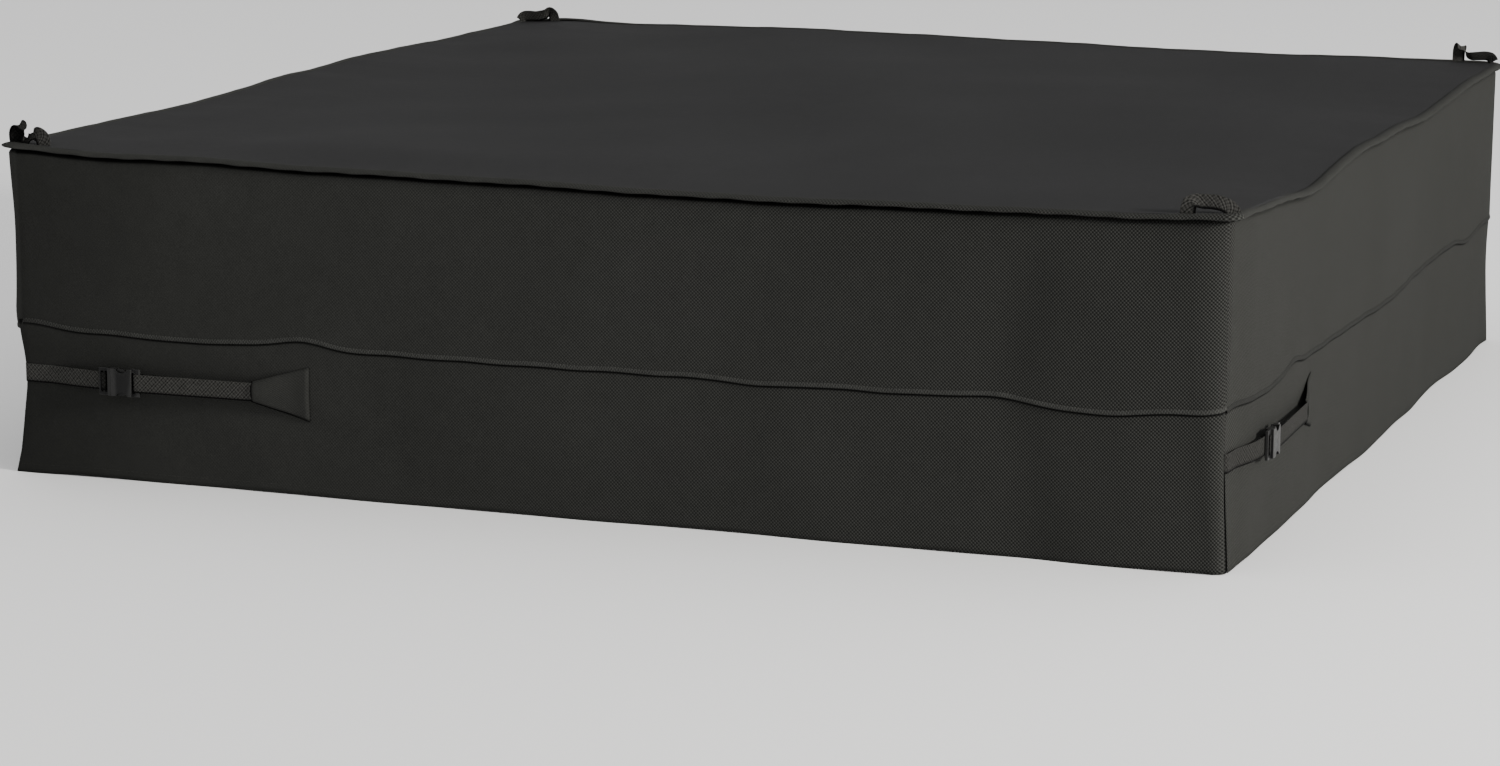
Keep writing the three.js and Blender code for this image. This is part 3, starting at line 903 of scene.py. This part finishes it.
PATCH_LIFT = 13 * MM  # the strap's pull holds the patch's short side off the skirt
PATCH_RISE = 3.4 * MM
PATCH_SHORT_HALF = STRAP_WIDTH / 2 + 1 * MM
PATCH_EDGE_SHADOW = (2.0 * MM, 3.8 * MM)  # where the painted shadow along a turned-in edge ends


def make_patches():
    """Trapezoids of cloth, turned under at their edges, that hold the straps' ends."""
    for side in SIDES:
        along = stretch_steps(PATCH_START, PATCH_END, 2.5 * MM)
        share = (along - PATCH_START) / (PATCH_END - PATCH_START)
        half = PATCH_SHORT_HALF + (PATCH_HALF_HEIGHT - PATCH_SHORT_HALF) * share
        across = np.linspace(-1, 1, 33)[:, None]
        level = STRAP + across * half[None]
        from_low = (1 + across) * half[None]
        from_high = (1 - across) * half[None]
        from_short = (along - PATCH_START)[None] + 0 * across
        from_long = (PATCH_END - along)[None] + 0 * across
        edge = np.minimum.reduce([from_low, from_high, from_short, from_long])
        rise = PATCH_RISE * ramp(edge, -0.001, 0.006) + 0.7 * MM * np.sin(share * 5)[None]
        lift = (1 - ramp(along, PATCH_START - 0.02, PATCH_START + 0.085))[None]
        rise = rise + (PATCH_LIFT + 3 * MM) * lift * np.cos(across * 0.7)
        run = along[None] - CORNER_RADIUS
        out = wall_out(side, run, level) + rise - 0.4 * MM
        points = on_wall(side, run, level, out)
        # Painted shadow along the patch's lower and short edges, and a lighter painted shade along its
        # long edge.
        shade = np.maximum.reduce([
            1 - ramp(from_low, *PATCH_EDGE_SHADOW),
            1 - ramp(from_short, *PATCH_EDGE_SHADOW),
            0.5 * (1 - ramp(from_long, 0.5 * MM, 2.6 * MM)),
        ])
        obj = grid_mesh(f"strap_patch_cloth_{side}", points, along, across[:, 0] * PATCH_HALF_HEIGHT,
                        MATERIALS["patch"], shade=shade)
        solidify(obj, CLOTH, 1.0)
        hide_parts(f"strap_patch_{side}")
        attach(obj, "cover")


# ---------------------------------------------------------------- straps and buckles


def beside(side, along, out, level):
    """A point in a side's own frame: along from its left-hand corner, out from its face."""
    return turned(side, np.array([-HALF + along, -HALF - out, level]))


STRAP_STEP = 2 * MM
STRAP_SHADE = {"right": 0.45}  # painted shade: the strap on the right-hand side is painted darker


def strap_ribbon(name, side, places, material):
    """A strap on edge, along (along, out, painted shade) places."""
    path = [beside(side, along, out, STRAP) for along, out, _ in places]
    painted_shade = [max(place[2], STRAP_SHADE.get(side, 0)) for place in places]
    widths = [(0, 0, 1)] * len(path)
    return ribbon(name, path, widths, STRAP_WIDTH, WEBBING, material, STRAP_STEP, painted_shade)


def on_skin(side, along):
    """How far out a strap's mid plane lies where it rests on the skirt."""
    return float(wall_out(side, np.array(along - CORNER_RADIUS), np.array(STRAP))) + 2.6 * MM


BUCKLE_START = INSERT_LOW.x + HALF
BUCKLE_END = SOCKET_HIGH.x + HALF


FIRST_SLOT = BUCKLE_START + 5.75 * MM
SECOND_SLOT = FIRST_SLOT + 8 * MM
SOCKET_SLOT = BUCKLE_END - 10 * MM


def make_straps():
    """On each side the strap from the corner to the buckle, and the one from there to the patch."""
    layer = 3.7 * MM  # from a bar's mid plane to the strap on it
    behind = BUCKLE_OUT - layer - 0.5 * MM
    back = behind - 2.6 * MM
    front = BUCKLE_OUT + layer
    under = BUCKLE_OUT - layer
    for side in SIDES:
        drawn = float(wall_out(side, np.array(0.006), np.array(STRAP)))
        edge = flap_edge(side, STRAP) + CORNER_RADIUS
        # Each place's third value is painted shade: where the strap goes into the slit and through the
        # buckle's slots.
        corner = strap_ribbon(f"corner_strap_webbing_{side}", side, [
            (edge + 0.004, drawn - 0.010, 1), (edge - 0.001, drawn - 0.005, 0.5),
            (edge - 0.0015, drawn - 0.001, 0), (edge + 0.005, on_skin(side, edge + 0.005), 0),
            (0.045, on_skin(side, 0.045), 0), (0.070, on_skin(side, 0.070), 0),
            (0.118, max(on_skin(side, 0.118), 0.0068), 0), (0.158, behind, 0),
            (BUCKLE_START - 2 * MM, behind, 0), (BUCKLE_START + 1 * MM, behind, 1),
            (FIRST_SLOT - 1 * MM, behind, 1), (FIRST_SLOT, behind + 2 * MM, 1),
            (FIRST_SLOT, front - 1 * MM, 1), (FIRST_SLOT + 1.2 * MM, front, 0.7),
            (SECOND_SLOT - 1.2 * MM, front, 0.7), (SECOND_SLOT, front - 1 * MM, 1),
            (SECOND_SLOT, behind, 1), (SECOND_SLOT - 2 * MM, back, 1), (BUCKLE_START - 4 * MM, back, 1),
        ], MATERIALS["webbing"])
        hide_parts(f"corner_strap_{side}")
        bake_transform(corner)
        # Here the third value is painted shade in the socket's slot and behind the socket.
        patch = strap_ribbon(f"patch_strap_webbing_{side}", side, [
            (PATCH_START + 0.012, PATCH_LIFT - 0.001, 0), (PATCH_START - 0.004, PATCH_LIFT + 0.001, 0),
            (0.432, PATCH_LIFT + 0.0018, 0), (0.362, 0.0165, 0), (0.302, 0.0185, 0),
            (0.262, 0.0192, 0), (BUCKLE_END, front, 0), (SOCKET_SLOT + 1.5 * MM, front, 0.2),
            (SOCKET_SLOT, front - 1.5 * MM, 1), (SOCKET_SLOT, under + 1.5 * MM, 1),
            (SOCKET_SLOT + 1.5 * MM, under, 1), (BUCKLE_END, under, 1), (0.262, 0.0150, 1),
            (0.300, 0.0142, 1),
        ], MATERIALS["webbing"])
        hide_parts(f"patch_strap_{side}")
        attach(patch, "cover")


MERGE_DISTANCE = 1e-6
FLAT_ANGLE = math.radians(1)
SHARP_ANGLE = math.radians(18)


def moulded(node, name, radius, body):
    """The CAD node's own shape with the rounded edges of a moulding."""
    mesh = bmesh.new()
    mesh.from_mesh(NODES[node].data)
    bmesh.ops.remove_doubles(mesh, verts=mesh.verts, dist=MERGE_DISTANCE)
    bmesh.ops.dissolve_limit(mesh, angle_limit=FLAT_ANGLE, verts=mesh.verts, edges=mesh.edges)
    joined = [edge for edge in mesh.edges if len(edge.link_faces) == 2]
    sharp = [edge for edge in joined if edge.calc_face_angle(0) > SHARP_ANGLE]
    bmesh.ops.bevel(mesh, geom=sharp, offset=radius, segments=3, profile=0.6, affect="EDGES",
                    clamp_overlap=True)
    bmesh.ops.triangulate(mesh, faces=[face for face in mesh.faces if len(face.verts) > 4])
    data = bpy.data.meshes.new(name)
    mesh.to_mesh(data)
    mesh.free()
    data.shade_smooth()
    data.materials.append(MATERIALS["plastic"])
    obj = link(bpy.data.objects.new(name, data))
    normals = obj.modifiers.new("normals", "WEIGHTED_NORMAL")
    normals.keep_sharp = True
    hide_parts(node)
    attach(obj, body)


SOCKET_EDGE = 0.9 * MM
INSERT_EDGE = 0.7 * MM


def make_buckles():
    for side in SIDES:
        moulded(f"buckle_socket_{side}", f"buckle_socket_moulding_{side}", SOCKET_EDGE, "cover")
        moulded(f"buckle_insert_{side}", f"buckle_insert_moulding_{side}", INSERT_EDGE, f"insert_{side}")
        for arm in (f"upper_{side}", f"lower_{side}"):
            moulded(f"buckle_arm_{arm}", f"buckle_arm_moulding_{arm}", INSERT_EDGE, f"arm_{arm}")


# ---------------------------------------------------------------- handles

# Each handle as (from the corner along the edge, inward from the edge, height, width direction),
# in millimetres; the width direction is (along, inward, up).
HANDLE_WIDTH = 25 * MM
# the painted shadow along a handle's lower selvedge is wider
HANDLE_EDGE_SHADOW = 5 * MM
HANDLE_STEP = 2.5 * MM
HANDLES = {
    "front_right": [
        (78, 7, -4, (1, 0, 0)), (78, 7, 5, (1, 0, 0)), (77, 8, 14, (1, 0, 0.1)),
        (74, 10, 21, (0.9, 0.2, 0.4)), (66, 15, 23, (0.3, 0.6, 0.8)), (55, 17, 22, (0, 0.5, 0.85)),
        (41, 17, 22, (0, 0.5, 0.85)), (26, 16, 20, (0, 0.5, 0.8)), (13, 15, 14, (-0.3, 0.5, 0.6)),
        (5, 12, 4, (-0.7, 0.4, 0.6)),
    ],
    "front_left": [
        (10, 14, 2, (0.8, 0.5, 0)), (6, 15, 18, (0.8, 0.5, 0)), (6, 16, 31, (0.7, 0.6, 0.2)),
        (12, 17, 41, (0.3, 0.7, 0.4)), (19, 18, 33, (-0.3, 0.7, 0.3)), (18, 18, 23, (-0.5, 0.7, 0.2)),
        (24, 18, 16, (-0.3, 0.6, 0.6)), (33, 17, 20, (0.5, 0.5, 0.8)), (43, 16, 27, (0.3, 0.4, 1)),
        (53, 15, 24, (-0.2, 0.5, 0.8)), (60, 12, 16, (0.8, 0.3, 0.3)), (64, 8, 0, (1, 0, 0)),
    ],
    "back_right": [
        (80, 8, -3, (1, 0, 0)), (80, 8, 10, (1, 0, 0)), (79, 9, 24, (1, 0, 0.1)),
        (75, 12, 32, (0.9, 0.2, 0.3)), (67, 15, 24, (0.5, 0.5, 0.6)), (56, 15, 14, (0, 0.6, 0.6)),
        (40, 15, 14, (0, 0.6, 0.65)), (24, 15, 15, (0, 0.55, 0.7)), (13, 15, 12, (-0.3, 0.4, 0.7)),
        (8, 14, 4, (-0.3, 0.3, 0.8)),
    ],
    "back_left": [
        (86, 8, -3, (1, 0, 0)), (86, 9, 8, (1, 0, 0)), (84, 11, 22, (1, 0.2, 0.1)),
        (76, 14, 28, (0.6, 0.4, 0.6)), (64, 16, 20, (0.1, 0.5, 0.9)), (48, 16, 16, (0, 0.5, 1)),
        (30, 15, 16, (0, 0.4, 1)), (16, 14, 13, (0, 0.3, 1)), (9, 14, 4, (-0.6, 0.2, 0.8)),
    ],
}

# Painted shade on the webbing at each handle's first and last point.
HANDLE_SHADE = {"front_left": (0.9, 0.2), "front_right": (0.1, 0.2)}


def make_handles():
    for place, points in HANDLES.items():
        edge, hand = place.split("_")
        sign_y = -1 if edge == "front" else 1
        sign_x = -1 if hand == "left" else 1
        along = np.array([-sign_x, 0, 0])
        inward = np.array([0, -sign_y, 0])
        up = np.array([0, 0, 1])
        axes = np.array([along, inward, up])
        corner = np.array([sign_x * HALF, sign_y * HALF, TOP + 1 * MM])
        path = [corner + MM * np.array(point[:3]) @ axes for point in points]
        widths = [np.array(point[3]) @ axes for point in points]
        shade = np.linspace(*HANDLE_SHADE.get(place, (0.0, 0.0)), len(path))
        obj = ribbon(f"handle_webbing_{place}", path, widths, HANDLE_WIDTH, WEBBING,
                     MATERIALS["webbing"], HANDLE_STEP, shade, HANDLE_EDGE_SHADOW)
        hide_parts(f"handle_{place}")
        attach(obj, f"handle_{place}")


# ---------------------------------------------------------------- floor and lights


FLOOR_REACH = 30
FLOOR_COLOUR = (0.82, 0.82, 0.82, 1)
WORLD_COLOUR = (1.0, 1.0, 1.0, 1)
WORLD_STRENGTH = 1.0
KEY_PLACE = Vector((9.8, -2.7, 3.3))
KEY_TARGET = Vector((0.8, 0, 0.3))
KEY_SIZE = 1.8
KEY_POWER = 2000
KEY_COLOUR = (1.0, 0.98, 0.94)


def make_floor():
    mesh = bpy.data.meshes.new("floor")
    corners = [(x * FLOOR_REACH, y * FLOOR_REACH, 0) for x, y in ((-1, -1), (1, -1), (1, 1), (-1, 1))]
    mesh.from_pydata(corners, [], [(0, 1, 2, 3)])
    shader = Shader("floor_pale")
    mesh.materials.append(shader.surface(Base_Color=FLOOR_COLOUR, Roughness=0.9))
    link(bpy.data.objects.new("floor", mesh))


def make_world():
    world = bpy.data.worlds.new("studio")
    bpy.context.scene.world = world
    world.use_nodes = True
    background = world.node_tree.nodes["Background"]
    background.inputs[0].default_value = WORLD_COLOUR
    background.inputs[1].default_value = WORLD_STRENGTH


def make_key_light():
    data = bpy.data.lights.new("key", "AREA")
    data.shape = "DISK"
    data.size = KEY_SIZE
    data.energy = KEY_POWER
    data.color = KEY_COLOUR
    light = link(bpy.data.objects.new("key", data))
    light.location = KEY_PLACE
    light.rotation_euler = (KEY_PLACE - KEY_TARGET).to_track_quat("Z", "Y").to_euler()


make_top()
make_welt()
make_upper_skirt()
make_lower_skirts()
make_lap_seam()
make_patches()
make_straps()
make_buckles()
make_handles()
make_floor()
make_world()
make_key_light()
